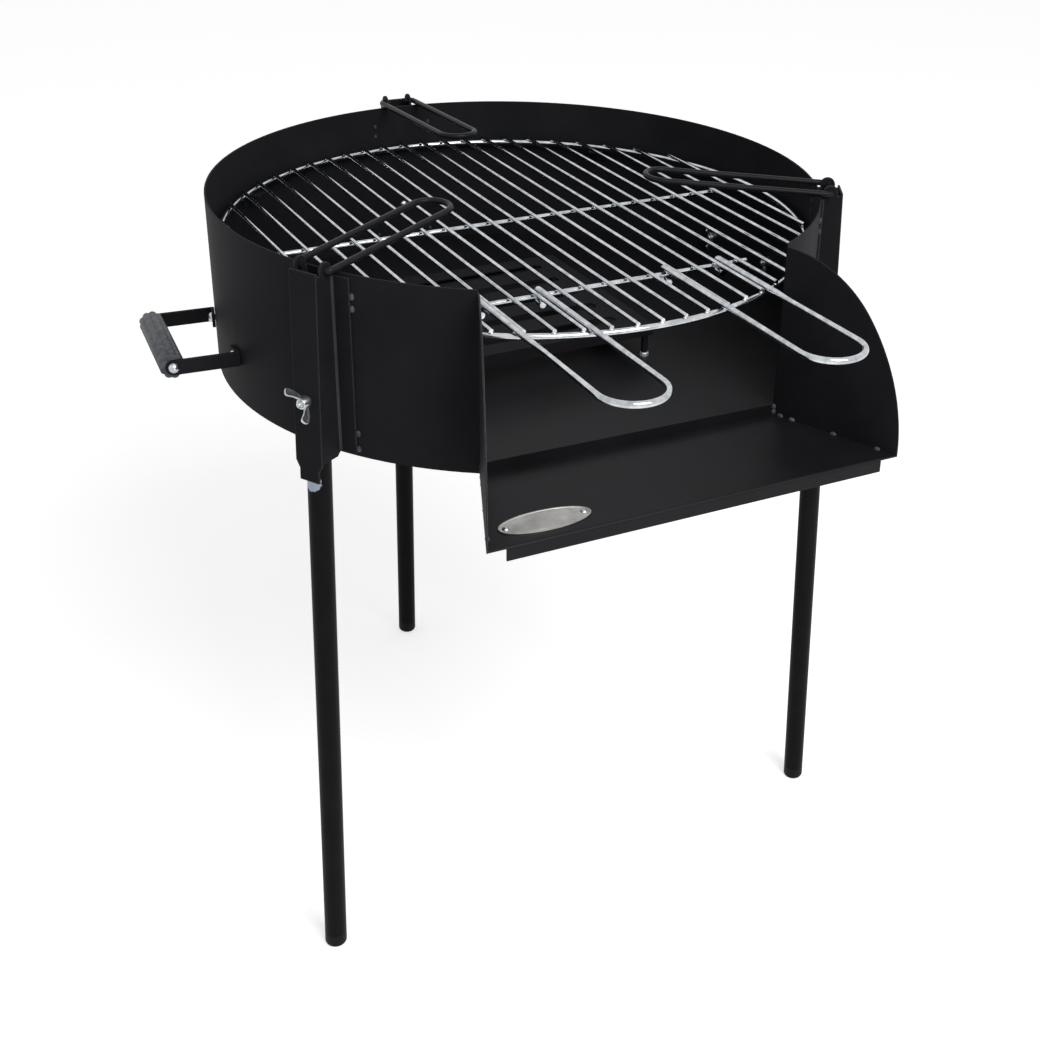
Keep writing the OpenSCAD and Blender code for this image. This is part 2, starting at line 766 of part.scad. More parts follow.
// A bolt through each grip, with its head at the front and a nut at the back
module grip_bolts() {
  out = strap_gap / 2 + strap_t / 2 + seat_gap;
  grip_nut_h = 5;
  color(zinc) both_sides() around(side_angle) translate([grip_r, 0, side_z]) rotate([-90, 0, 0]) {
    translate([0, 0, -out - grip_nut_h]) cylinder(h = 2 * out + grip_nut_h, d = bolt_d);
    translate([0, 0, out]) bolt_head();
    translate([0, 0, -out - grip_nut_h + 1]) cylinder(h = grip_nut_h - 1, d = head_d + 1, $fn = 6);
  }
}

// Bolts that hold the side handles' feet, with their heads outside the drum
module handle_bolts() {
  head_z = drum_r + 2 * seat_gap + strap_t;
  color(zinc) both_sides() for (side = [-1, 1]) side_bolt_frame(side) {
    translate([0, 0, head_z]) bolt_head();
    translate([0, 0, drum_in_r - nut_hub_h - 2]) cylinder(h = head_z - drum_in_r + nut_hub_h + 3, d = bolt_d);
  }
}

// Small wing nuts on those bolts, inside the drum
module handle_wing_nuts() {
  color(zinc) both_sides() for (side = [-1, 1]) side_bolt_frame(side)
    translate([0, 0, drum_in_r - seat_gap]) mirror([0, 0, 1]) rotate([0, 0, side > 0 ? 35 : 5])
      wing_nut(nut_span - 12, nut_wing_h - 3, 4);
}

// Tack welds: beads beside the brackets' lips and along the wings' feet
module weld_beads() {
  bead_r = 2.4;
  lip_angle = asin((bracket_lip_w / 2 + bead_r) / drum_r);
  low_beads = [base_z + 7, base_z + 22];
  high_beads = [rim_z - 31, rim_z - 20];
  heights = concat(low_beads, high_beads);
  color(steel_black) {
    for (place = PLACES, side = [-1, 1], z = heights) around(place + side * lip_angle) difference() {
      translate([drum_r, 0, z]) sphere(r = bead_r);
      translate([0, 0, z - 5]) cylinder(h = 10, r = drum_r, $fn = 180);
    }
    for (left = [0, 1], along = [0.06, 0.16, 0.5, 0.85]) front() mirror([left, 0, 0])
      translate([mouth_x, mouth_y, base_z]) rotate([0, 0, (left ? left_flare : right_flare) - 90]) intersection() {
        translate([along * wing_len, -sheet_t, 0]) sphere(r = bead_r);
        translate([0, -10 - sheet_t, 0]) cube([wing_len, 10, 10]);
      }
  }
}

drum_wall();
drum_floor();
left_wing();
right_wing();
front_shelf();
badge_plate();
badge_rivets();
fire_plate();
fire_plate_legs();
fire_plate_glides();
leg_bracket(LEFT);  // left_leg_bracket
leg_bracket(RIGHT);  // right_leg_bracket
leg_bracket(REAR);  // rear_leg_bracket
leg(LEFT);  // left_leg
leg(RIGHT);  // right_leg
leg(REAR);  // rear_leg
foot_cap(LEFT);  // left_foot_cap
foot_cap(RIGHT);  // right_foot_cap
foot_cap(REAR);  // rear_foot_cap
clamp_bolts();
clamp_nut(LEFT);  // left_wing_nut
clamp_nut(RIGHT);  // right_wing_nut
clamp_nut(REAR);  // rear_wing_nut
paella_arm(LEFT);  // left_paella_arm
paella_arm(RIGHT);  // right_paella_arm
paella_arm(REAR);  // rear_paella_arm
grate_supports();
grate_ring();
grate_bars();
grate_cross_bars();
grate_handle(-1);  // left_grate_handle
grate_handle(1);  // right_grate_handle
left_handle_straps();
right_handle_straps();
left_grip();
right_grip();
grip_bolts();
handle_bolts();
handle_wing_nuts();
weld_beads();
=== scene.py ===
"""The looks of a paella grill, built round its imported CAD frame.

The frame holds every sheet, tube, wire and bolt at its real size. This script gives each of them
its finish, replaces the plain fasteners and welds with cast and welded shapes, and sets up a
plain studio with a camera at the reference view. Lengths are metres, and sizes in millimetres
say so in their class.
"""

import json
import logging
import math
from collections.abc import Callable, Iterable, Iterator, Sequence
from contextlib import contextmanager
from dataclasses import dataclass
from enum import Enum
from functools import partial

import bmesh
import bpy
from mathutils import Matrix, Vector


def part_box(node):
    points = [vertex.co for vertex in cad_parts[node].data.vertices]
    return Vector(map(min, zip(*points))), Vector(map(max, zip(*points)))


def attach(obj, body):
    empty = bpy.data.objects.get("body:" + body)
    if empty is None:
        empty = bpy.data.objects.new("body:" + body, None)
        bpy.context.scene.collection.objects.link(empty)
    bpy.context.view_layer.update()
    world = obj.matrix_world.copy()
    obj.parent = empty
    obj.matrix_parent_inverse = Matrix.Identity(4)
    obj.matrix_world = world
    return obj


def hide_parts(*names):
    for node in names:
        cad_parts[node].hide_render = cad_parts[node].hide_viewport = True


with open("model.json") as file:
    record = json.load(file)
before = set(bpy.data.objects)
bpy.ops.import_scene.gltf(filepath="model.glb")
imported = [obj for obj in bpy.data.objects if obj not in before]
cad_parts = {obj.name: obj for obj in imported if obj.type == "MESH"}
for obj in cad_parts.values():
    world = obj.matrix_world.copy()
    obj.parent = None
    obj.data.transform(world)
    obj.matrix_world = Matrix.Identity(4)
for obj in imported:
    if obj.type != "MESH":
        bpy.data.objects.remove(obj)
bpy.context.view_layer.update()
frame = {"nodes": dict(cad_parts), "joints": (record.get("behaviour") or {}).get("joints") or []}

LOG = logging.getLogger("paella_grill")
MM = 0.001
UP = Vector((0, 0, 1))

Colour = tuple[float, float, float, float]
Point = tuple[float, float, float]
Material = bpy.types.Material
Node = bpy.types.Node
Piece = bpy.types.Object
Socket = bpy.types.NodeSocket
AddNode = Callable[..., Node]


class Body(Enum):
    """The rigid bodies that pieces ride on."""

    STAND = "stand"
    GRATE = "grate"
    LEFT_CLAMP_NUT = "left_clamp_nut"
    RIGHT_CLAMP_NUT = "right_clamp_nut"
    REAR_CLAMP_NUT = "rear_clamp_nut"


class Slot(Enum):
    """The record's material slots."""

    STEEL = "black_steel"
    WIRE = "zinc_wire"
    HARDWARE = "zinc_hardware"
    PLASTIC = "black_plastic"
    BADGE = "badge_metal"


def srgb(hex_colour: str, alpha: float = 1.0) -> Colour:
    """Turns a screen colour into the linear colour that shaders use.

    Args:
        hex_colour: six hexadecimal digits after a hash sign.
        alpha: opacity from 0 to 1.

    Returns:
        Linear red, green, blue and alpha.
    """
    parts = [int(hex_colour[i : i + 2], 16) / 255 for i in (1, 3, 5)]
    red, green, blue = (
        p / 12.92 if p <= 0.04045 else ((p + 0.055) / 1.055) ** 2.4 for p in parts
    )
    return red, green, blue, alpha


def per_mm(size_mm: float) -> float:
    """Gives the texture scale at which one feature measures size_mm."""
    return 1000.0 / size_mm


def add_node(
    tree: bpy.types.NodeTree,
    kind: str,
    inputs: dict[str | int, object] | None = None,
    links: dict[str | int, Node | Socket] | None = None,
    stops: Sequence[tuple[float, str]] = (),
    **settings: object,
) -> Node:
    """Adds one shader node, sets its values and links its inputs.

    Args:
        tree: the node tree that gets the node.
        kind: the node's type name without ShaderNode, such as Bump.
        inputs: values by input name or number.
        links: what feeds an input, by input name or number: an output socket, or a node, which
            stands for its first output in use.
        stops: a colour ramp's two positions from 0 to 1, with their screen colours.
        settings: attributes of the node itself.

    Returns:
        The new node.
    """
    node = tree.nodes.new(f"ShaderNode{kind}")
    for name, value in settings.items():
        setattr(node, name, value)
    for number, (position, colour) in enumerate(stops):
        node.color_ramp.elements[number].position = position
        node.color_ramp.elements[number].color = srgb(colour)
    for name, value in (inputs or {}).items():
        node.inputs[name].default_value = value
    for name, source in (links or {}).items():
        if isinstance(source, Node):
            source = next(output for output in source.outputs if output.enabled)
        tree.links.new(source, node.inputs[name])
    return node


def new_material(name: str) -> tuple[Material, AddNode]:
    """Makes a material with no nodes.

    Args:
        name: the material's name.

    Returns:
        The material, and add_node for its tree.
    """
    material = bpy.data.materials.new(name)
    material.use_nodes = True
    material.node_tree.nodes.clear()
    return material, partial(add_node, material.node_tree)


@dataclass(frozen=True)
class StoveEnamel:
    """Mild steel with a baked black stove enamel.

    The enamel is a deep neutral black with a broad satin sheen. Close up it has a faint orange
    peel, faint paler clouds in the sheen and paler lines along sharp edges, a painted highlight
    where they would catch the light. Where a spot is given, a pale metallic highlight is painted.
    """

    name: str = "black_stove_enamel_on_sheet_steel"
    slot: Slot = Slot.STEEL
    colour: str = "#1b1b1e"
    cloud_colour: str = "#232327"
    edge_highlight_colour: str = "#55565a"
    sheen: float = 0.05
    roughness: float = 0.6
    peel_mm: float = 2.2
    peel_depth_mm: float = 0.12
    cloud_mm: float = 80.0
    edge_mm: float = 0.6
    # Pale metallic spots painted as highlights, with their size and soft ragged edge
    highlight_spot_colour: str = "#8b92a1"
    highlight_spot_mm: float = 9.5
    highlight_spot_fade_mm: tuple[float, float] = (1.1, 1.9)
    highlight_spots_mm: tuple[Point, ...] = ()
    ragged_mm: float = 3.0

    def bare(self, add: AddNode, place: Socket) -> Node | None:
        """Masks the spots where a pale metallic highlight is painted.

        Args:
            add: adds a node to the material.
            place: the coordinates it reads.

        Returns:
            1 inside a spot and 0 outside, or nothing where no spot is given.
        """
        mask = None
        ragged = add(
            "TexNoise", {"Scale": per_mm(self.ragged_mm), "Detail": 3.0}, {"Vector": place}
        )
        near, far = ((self.highlight_spot_mm + fade) * MM for fade in self.highlight_spot_fade_mm)
        for spot in self.highlight_spots_mm:
            away = add("VectorMath", {1: Vector(spot) * MM}, {0: place}, operation="DISTANCE")
            ragged_away = add(
                "Math",
                {1: self.ragged_mm * MM},
                {0: ragged, 2: away},
                operation="MULTIPLY_ADD",
            )
            inside = add("MapRange", {"From Min": far, "From Max": near}, {"Value": ragged_away})
            if mask is not None:
                inside = add("Math", links={0: mask, 1: inside}, operation="MAXIMUM")
            mask = inside
        return mask

    def build(self) -> Material:
        """Builds the enamel's nodes and returns the material."""
        material, add = new_material(self.name)
        place = add("TexCoord").outputs["Object"]
        cloud = add(
            "TexNoise",
            {"Scale": per_mm(self.cloud_mm), "Detail": 6.0, "Roughness": 0.65},
            {"Vector": place},
        )
        stops = ((0.35, self.colour), (0.72, self.cloud_colour))
        base = add("ValToRGB", links={"Fac": cloud}, stops=stops)
        rough = add(
            "MapRange",
            {"To Min": self.roughness - 0.07, "To Max": self.roughness + 0.09},
            {"Value": cloud},
        )
        # Painted highlight: edges and burrs are drawn paler where the bevelled normal leaves the
        # true one
        normal = add("NewGeometry").outputs["Normal"]
        edge = add("Bevel", {"Radius": self.edge_mm * MM}, samples=2)
        agree = add("VectorMath", links={0: edge, 1: normal}, operation="DOT_PRODUCT")
        edge_highlight = add(
            "MapRange", {"From Min": 0.99, "From Max": 0.86, "To Max": 0.6}, {"Value": agree}
        )
        painted_highlights = [(edge_highlight, self.edge_highlight_colour)]
        shine = {}
        # Painted highlight: inside the spots the enamel turns pale and metallic
        bare = self.bare(add, place)
        if bare is not None:
            painted_highlights.append((bare, self.highlight_spot_colour))
            shine["Metallic"] = bare
        for share, colour in painted_highlights:
            base = add("Mix", {"B": srgb(colour)}, {"Factor": share, "A": base}, data_type="RGBA")
        # Orange peel of sprayed enamel, drawn coarser than real so that it shows
        peel = add("TexNoise", {"Scale": per_mm(self.peel_mm), "Detail": 3.0}, {"Vector": place})
        bump = add(
            "Bump",
            {"Strength": 0.15, "Distance": self.peel_depth_mm * MM},
            {"Height": peel, "Normal": edge},
        )
        shader = add(
            "BsdfPrincipled",
            {"Specular IOR Level": self.sheen},
            {"Base Color": base, "Roughness": rough, "Normal": bump, **shine},
        )
        add("OutputMaterial", links={"Surface": shader})
        return material


@dataclass(frozen=True)
class BrightZinc:
    """Steel with bright zinc plating, as drawn wire or as cast and rolled fasteners.

    The plating is a nearly white metal with a soft mirror sheen, cloudy where the bath left it
    thicker.
    """

    name: str = "zinc_plated_cast_fastener"
    slot: Slot = Slot.HARDWARE
    colour: str = "#d3d6d9"
    shade: str = "#a3a7ac"
    roughness: float = 0.3
    mottle_mm: float = 4.0
    pit_mm: float = 0.9
    pit_depth_mm: float = 0.05

    def build(self) -> Material:
        """Builds the plating's nodes and returns the material."""
        material, add = new_material(self.name)
        place = add("TexCoord").outputs["Object"]
        mottle = add(
            "TexNoise", {"Scale": per_mm(self.mottle_mm), "Detail": 4.0}, {"Vector": place}
        )
        stops = ((0.3, self.shade), (0.7, self.colour))
        base = add("ValToRGB", links={"Fac": mottle}, stops=stops)
        rough = add(
            "MapRange",
            {"To Min": self.roughness - 0.06, "To Max": self.roughness + 0.08},
            {"Value": mottle},
        )
        pits = add("TexNoise", {"Scale": per_mm(self.pit_mm), "Detail": 3.0}, {"Vector": place})
        bump = add(
            "Bump", {"Strength": 0.3, "Distance": self.pit_depth_mm * MM}, {"Height": pits}
        )
        shader = add(
            "BsdfPrincipled",
            {"Metallic": 1.0},
            {"Base Color": base, "Roughness": rough, "Normal": bump},
        )
        add("OutputMaterial", links={"Surface": shader})
        return material


@dataclass(frozen=True)
class MouldedPlastic:
    """Black polypropylene as it leaves the mould: fine matt grain and chalky grey clouds; the
    grip's pale grey colours are a painted sheen.
    """

    name: str = "black_moulded_polypropylene"
    slot: Slot = Slot.PLASTIC
    colour: str = "#111112"
    chalk_and_sheen_colour: str = "#18181a"
    roughness: float = 0.5
    sheen: float = 0.1
    grain_mm: float = 0.8
    grain_depth_mm: float = 0.06
    chalk_mm: float = 14.0

    def build(self) -> Material:
        """Builds the plastic's nodes and returns the material."""
        material, add = new_material(self.name)
        place = add("TexCoord").outputs["Object"]
        chalk = add(
            "TexNoise",
            {"Scale": per_mm(self.chalk_mm), "Detail": 5.0, "Roughness": 0.7},
            {"Vector": place},
        )
        stops = ((0.38, self.colour), (0.68, self.chalk_and_sheen_colour))
        base = add("ValToRGB", links={"Fac": chalk}, stops=stops)
        grain = add("TexNoise", {"Scale": per_mm(self.grain_mm)}, {"Vector": place})
        rough = add(
            "MapRange",
            {"To Min": self.roughness - 0.05, "To Max": self.roughness + 0.1},
            {"Value": grain},
        )
        bump = add(
            "Bump", {"Strength": 0.3, "Distance": self.grain_depth_mm * MM}, {"Height": grain}
        )
        shader = add(
            "BsdfPrincipled",
            {"Specular IOR Level": self.sheen},
            {"Base Color": base, "Roughness": rough, "Normal": bump},
        )
        add("OutputMaterial", links={"Surface": shader})
        return material


@dataclass(frozen=True)
class BrushedAluminium:
    """Thin aluminium sheet, brushed along the badge and lacquered.

    Fine brush lines run along the plate and spread the light across it.
    """

    name: str = "brushed_aluminium_sheet"
    slot: Slot = Slot.BADGE
    colour: str = "#cdcbc8"
    shade: str = "#9c9a97"
    roughness: float = 0.34
    cloud_mm: float = 18.0
    line_mm: float = 0.35
    line_depth_mm: float = 0.03
    stretch: float = 60.0
    turn_deg: float = -1.7

    def build(self) -> Material:
        """Builds the brushed metal's nodes and returns the material."""
        material, add = new_material(self.name)
        place = add("TexCoord").outputs["Object"]
        cloud = add("TexNoise", {"Scale": per_mm(self.cloud_mm), "Detail": 3.0}, {"Vector": place})
        stops = ((0.3, self.shade), (0.7, self.colour))
        base = add("ValToRGB", links={"Fac": cloud}, stops=stops)
        # The lines are longer than wide, and coarser than real so that they show
        turn = (0.0, 0.0, math.radians(-self.turn_deg))
        pull = (1.0 / self.stretch, 1.0, 1.0)
        along = add("Mapping", {"Rotation": turn, "Scale": pull}, {"Vector": place})
        lines = add("TexNoise", {"Scale": per_mm(self.line_mm)}, {"Vector": along})
        rough = add(
            "MapRange",
            {"To Min": self.roughness - 0.1, "To Max": self.roughness + 0.12},
            {"Value": lines},
        )
        bump = add(
            "Bump", {"Strength": 0.5, "Distance": self.line_depth_mm * MM}, {"Height": lines}
        )
        shader = add(
            "BsdfPrincipled",
            {"Metallic": 1.0},
            {"Base Color": base, "Roughness": rough, "Normal": bump},
        )
        add("OutputMaterial", links={"Surface": shader})
        return material


class Finish(Enum):
    """The grill's finishes."""

    SHEET = StoveEnamel()
    # Its wide pale edge lines paint a highlight along the rounded bends
    FOLDED = StoveEnamel(
        name="black_stove_enamel_on_folded_sheet", edge_highlight_colour="#6c6d71", edge_mm=1.6
    )
    # A painted highlight: the left wing's edges are drawn nearly white
    EDGE_HIGHLIGHTED = StoveEnamel(
        name="black_stove_enamel_with_painted_edge_highlights", edge_highlight_colour="#b4b6b9", edge_mm=1.0
    )
    # A paler enamel that paints the highlight on the bend between cheek and lip
    FOLD_HIGHLIGHT = StoveEnamel(
        name="black_stove_enamel_painted_fold_highlight", colour="#333437", cloud_colour="#424347"
    )
    SATIN = StoveEnamel(
        name="black_stove_enamel_with_satin_sheen",
        colour="#151517",
        cloud_colour="#1c1c20",
        sheen=0.12,
        roughness=0.42,
    )
    # The beads are drawn paler than the sheet's enamel, with pale blotches
    WELD = StoveEnamel(
        name="black_stove_enamel_over_weld_metal",
        colour="#2c2c31",
        cloud_colour="#5c5c64",
        sheen=0.3,
        peel_mm=1.0,
        cloud_mm=5.0,
        edge_mm=0.2,
    )
    TUBE = StoveEnamel(
        name="black_stove_enamel_on_tube",
        colour="#151517",
        cloud_colour="#1b1b1d",
        sheen=0.04,
        roughness=0.4,
        cloud_mm=40.0,
        # A painted highlight on each leg just below its bracket
        highlight_spots_mm=((-282.9, -162.7, 537.0), (282.7, -163.2, 538.0), (0.0, 326.4, 538.0)),
    )
    ROD = StoveEnamel(
        name="black_stove_enamel_on_rod",
        colour="#151517",
        cloud_colour="#1d1d20",
        sheen=0.12,
        roughness=0.36,
        peel_mm=1.2,
        edge_mm=0.2,
    )
    FIRE_PLATE = StoveEnamel(
        name="black_heat_paint_on_plate_steel", roughness=0.55, cloud_colour="#242427"
    )
    WIRE = BrightZinc(
        name="bright_zinc_plated_drawn_wire",
        slot=Slot.WIRE,
        roughness=0.1,
        mottle_mm=9.0,
        pit_depth_mm=0.008,
    )
    GLIDE = BrightZinc(
        name="zinc_plated_glide",
        colour="#f2f3f4",
        shade="#dcdee0",
        roughness=0.55,
        mottle_mm=9.0,
        pit_depth_mm=0.02,
    )
    HARDWARE = BrightZinc()
    PLASTIC = MouldedPlastic()
    # The grip's grey colours are a painted sheen: glossy black plastic reflecting a white room
    GRIP = MouldedPlastic(
        name="black_moulded_polypropylene_with_painted_sheen",
        colour="#2f3236",
        chalk_and_sheen_colour="#606369",
        chalk_mm=7.0,
        sheen=0.35,
    )
    BADGE = BrushedAluminium()


def select_only(piece: Piece) -> None:
    """Deselects everything and makes one piece active and selected."""
    bpy.ops.object.select_all(action="DESELECT")
    piece.select_set(True)
    bpy.context.view_layer.objects.active = piece


@contextmanager
def editing(piece: Piece, kind: str = "FACE", start: str = "DESELECT") -> Iterator[None]:
    """Holds a piece in edit mode.

    Args:
        piece: the piece to edit.
        kind: what is picked: VERT, EDGE or FACE.
        start: SELECT or DESELECT, which is done to the whole piece first.
    """
    select_only(piece)
    bpy.ops.object.mode_set(mode="EDIT")
    bpy.ops.mesh.select_mode(type=kind)
    bpy.ops.mesh.select_all(action=start)
    yield
    bpy.ops.object.mode_set(mode="OBJECT")


def extrude(step: Vector | Point) -> None:
    """Extrudes what is selected by a step, in edit mode."""
    bpy.ops.mesh.extrude_region_move(TRANSFORM_OT_translate={"value": step})


def pick_faces(piece: Piece, test: Callable[[Vector, Vector], bool]) -> None:
    """Selects the faces that pass a test, in edit mode.

    Args:
        piece: the piece in edit mode.
        test: takes a face's middle and normal.
    """
    bpy.ops.mesh.select_all(action="DESELECT")
    mesh = bmesh.from_edit_mesh(piece.data)
    mesh.normal_update()
    for face in mesh.faces:
        face.select_set(test(face.calc_center_median(), face.normal))
    bmesh.update_edit_mesh(piece.data)


def pick_edges(piece: Piece, test: Callable[[Vector, Vector], bool]) -> None:
    """Selects the edges that pass a test, in edit mode.

    Args:
        piece: the piece in edit mode.
        test: takes the places of an edge's two ends.
    """
    bpy.ops.mesh.select_all(action="DESELECT")
    mesh = bmesh.from_edit_mesh(piece.data)
    for edge in mesh.edges:
        edge.select_set(test(*(end.co for end in edge.verts)))
    bmesh.update_edit_mesh(piece.data)


def apply_modifier(piece: Piece, kind: str, **settings: object) -> None:
    """Adds one modifier to a piece and applies it.

    Args:
        piece: the piece.
        kind: the modifier's type name.
        settings: the modifier's attributes.
    """
    modifier = piece.modifiers.new(kind.lower(), kind)
    for name, value in settings.items():
        setattr(modifier, name, value)
    select_only(piece)
    bpy.ops.object.modifier_apply(modifier=modifier.name)


def join(pieces: list[Piece]) -> Piece:
    """Joins pieces into the first one and returns it."""
    select_only(pieces[0])
    for piece in pieces[1:]:
        piece.select_set(True)
    if len(pieces) > 1:
        bpy.ops.object.join()
    return pieces[0]


def set_out(pattern: Piece, name: str, places: Iterable[Matrix]) -> Piece:
    """Copies a pattern drawn in millimetres to its places and joins the copies.

    Args:
        pattern: the piece to copy, which is removed.
        name: the name of the joined piece.
        places: a metre frame for each copy.

    Returns:
        The joined piece.
    """
    copies = []
    for place in places:
        copy = pattern.copy()
        copy.data = pattern.data.copy()
        copy.data.transform(place @ Matrix.Scale(MM, 4))
        bpy.context.scene.collection.objects.link(copy)
        copies.append(copy)
    bpy.data.objects.remove(pattern)
    piece = join(copies)
    piece.name = name
    piece.data.name = name
    return piece


def upright_frame(origin_mm: Vector, right: Vector, out: Vector) -> Matrix:
    """Makes a frame from its origin, its X direction and its Z direction.

    Args:
        origin_mm: the origin in millimetres.
        right: the X direction.
        out: the Z direction, at a right angle to X.

    Returns:
        The frame in metres.
    """
    turn = Matrix((right, out.cross(right), out)).transposed().to_4x4()
    return Matrix.Translation(origin_mm * MM) @ turn


class Finishes:
    """Builds each finish once, and dresses nodes and new pieces in it."""

    def __init__(self) -> None:
        """Starts with no finish built."""
        self.built: dict[Finish, Material] = {}

    def get(self, finish: Finish) -> Material:
        """Returns the material of a finish, built on first use."""
        if finish not in self.built:
            self.built[finish] = finish.value.build()
        return self.built[finish]

    def dress(self, finish: Finish, *nodes: str) -> None:
        """Gives CAD nodes one finish.

        Args:
            finish: the finish.
            nodes: the nodes' names.
        """
        for name in nodes:
            slots = frame["nodes"][name].data.materials
            slots.clear()
            slots.append(self.get(finish))
            LOG.info("dressed %s in %s", name, finish.value.name)

    def hang(
        self,
        piece: Piece,
        finish: Finish,
        stands_for: tuple[str, ...] = (),
        body: Body = Body.STAND,
        smooth_deg: float = 35.0,
    ) -> None:
        """Turns a new piece's faces outwards, smooths it, dresses it and hangs it on its body.

        Args:
            piece: the piece, in place.
            finish: its finish.
            stands_for: the CAD nodes that it replaces.
            body: the body it rides on.
            smooth_deg: edges sharper than this stay sharp.
        """
        with editing(piece, start="SELECT"):
            bpy.ops.mesh.normals_make_consistent(inside=False)
        bpy.ops.object.shade_smooth_by_angle(angle=math.radians(smooth_deg))
        piece.data.materials.clear()
        piece.data.materials.append(self.get(finish))
        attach(piece, body.value)
        if stands_for:
            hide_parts(*stands_for)
        LOG.info("built %s: %d faces", piece.name, len(piece.data.polygons))


@dataclass(frozen=True)
class WingNut:
    """A cast wing nut: a hub with a bore and two rounded ears with sunk cheeks.

    Sizes are millimetres. It is drawn with its seat on the XY plane and its bore along Z.
    """

    bore: float = 6.1
    hub_low: float = 12.6
    hub_top: float = 9.4
    hub_h: float = 8.0
    hub_bevel: float = 0.45
    root_size: Point = (2.0, 3.2, 4.6)
    root_z: float = 4.2
    root_sunk: float = 1.6
    ear_path: tuple[tuple[float, float, float, float], ...] = (
        (8.0, 6.2, 24.0, 1.1),
        (11.4, 9.4, 40.0, 1.35),
        (14.2, 13.0, 52.0, 1.15),
    )
    ear_thinning: float = 0.96
    tip: tuple[float, float] = (16.0, 15.8)
    tip_size: Point = (0.88, 0.95, 0.88)
    cheek_inset: float = 0.9
    cheek_sink: float = 0.5

    def hub(self) -> Piece:
        """Models the hub: a cone frustum with a bore and broken edges."""
        bpy.ops.mesh.primitive_cone_add(
            vertices=40,
            radius1=self.hub_low / 2,
            radius2=self.hub_top / 2,
            depth=self.hub_h,
            location=(0.0, 0.0, self.hub_h / 2),
        )
        hub = bpy.context.object
        bpy.ops.object.transform_apply(location=True)
        with editing(hub):
            for side, width in ((-1, self.hub_low), (1, self.hub_top)):
                pick_faces(hub, lambda middle, normal: normal.z * side > 0.9)
                bpy.ops.mesh.inset(thickness=(width - self.bore) / 2)
            pick_faces(
                hub, lambda middle, normal: abs(normal.z) > 0.9 and middle.xy.length < 0.1
            )
            bpy.ops.mesh.bridge_edge_loops()
        apply_modifier(hub, "BEVEL", width=self.hub_bevel, segments=3, limit_method="ANGLE")
        return hub

    def ear(self) -> Piece:
        """Models one ear as a swept bar with sunk cheeks and soft edges."""
        root = self.hub_top / 2 - self.root_sunk
        at = Vector((root + self.root_size[0] / 2, 0.0, self.root_z))
        bpy.ops.mesh.primitive_cube_add(size=1.0)
        ear = bpy.context.object
        ear.scale = self.root_size
        ear.location = (root, 0.0, self.root_z)
        bpy.ops.object.transform_apply(location=True, scale=True)
        with editing(ear):
            pick_faces(ear, lambda middle, normal: normal.x > 0.9)
            heading = 0.0
            for x, z, lean, grow in self.ear_path:
                step = Vector((x, 0.0, z)) - at
                extrude(step)
                at += step
                bpy.ops.transform.rotate(
                    value=math.radians(lean - heading), orient_axis="Y", center_override=at
                )
                size = (grow, self.ear_thinning, grow)
                bpy.ops.transform.resize(value=size, center_override=at)
                heading = lean
            step = Vector((self.tip[0], 0.0, self.tip[1])) - at
            extrude(step)
            bpy.ops.transform.resize(value=self.tip_size, center_override=at + step)
            inner = self.hub_top / 2 + 1
            for side in (-1, 1):
                pick_faces(ear, lambda middle, normal: normal.y * side > 0.8 and middle.x > inner)
                bpy.ops.mesh.inset(thickness=self.cheek_inset)
                bpy.ops.transform.translate(value=(0.0, -side * self.cheek_sink, 0.0))
        apply_modifier(ear, "SUBSURF", levels=2, render_levels=2)
        return ear

    def model(self) -> Piece:
        """Models the whole nut and returns it."""
        ear = self.ear()
        twin = ear.copy()
        twin.data = ear.data.copy()
        twin.data.transform(Matrix.Rotation(math.pi, 4, "Z"))
        bpy.context.scene.collection.objects.link(twin)
        return join([self.hub(), ear, twin])


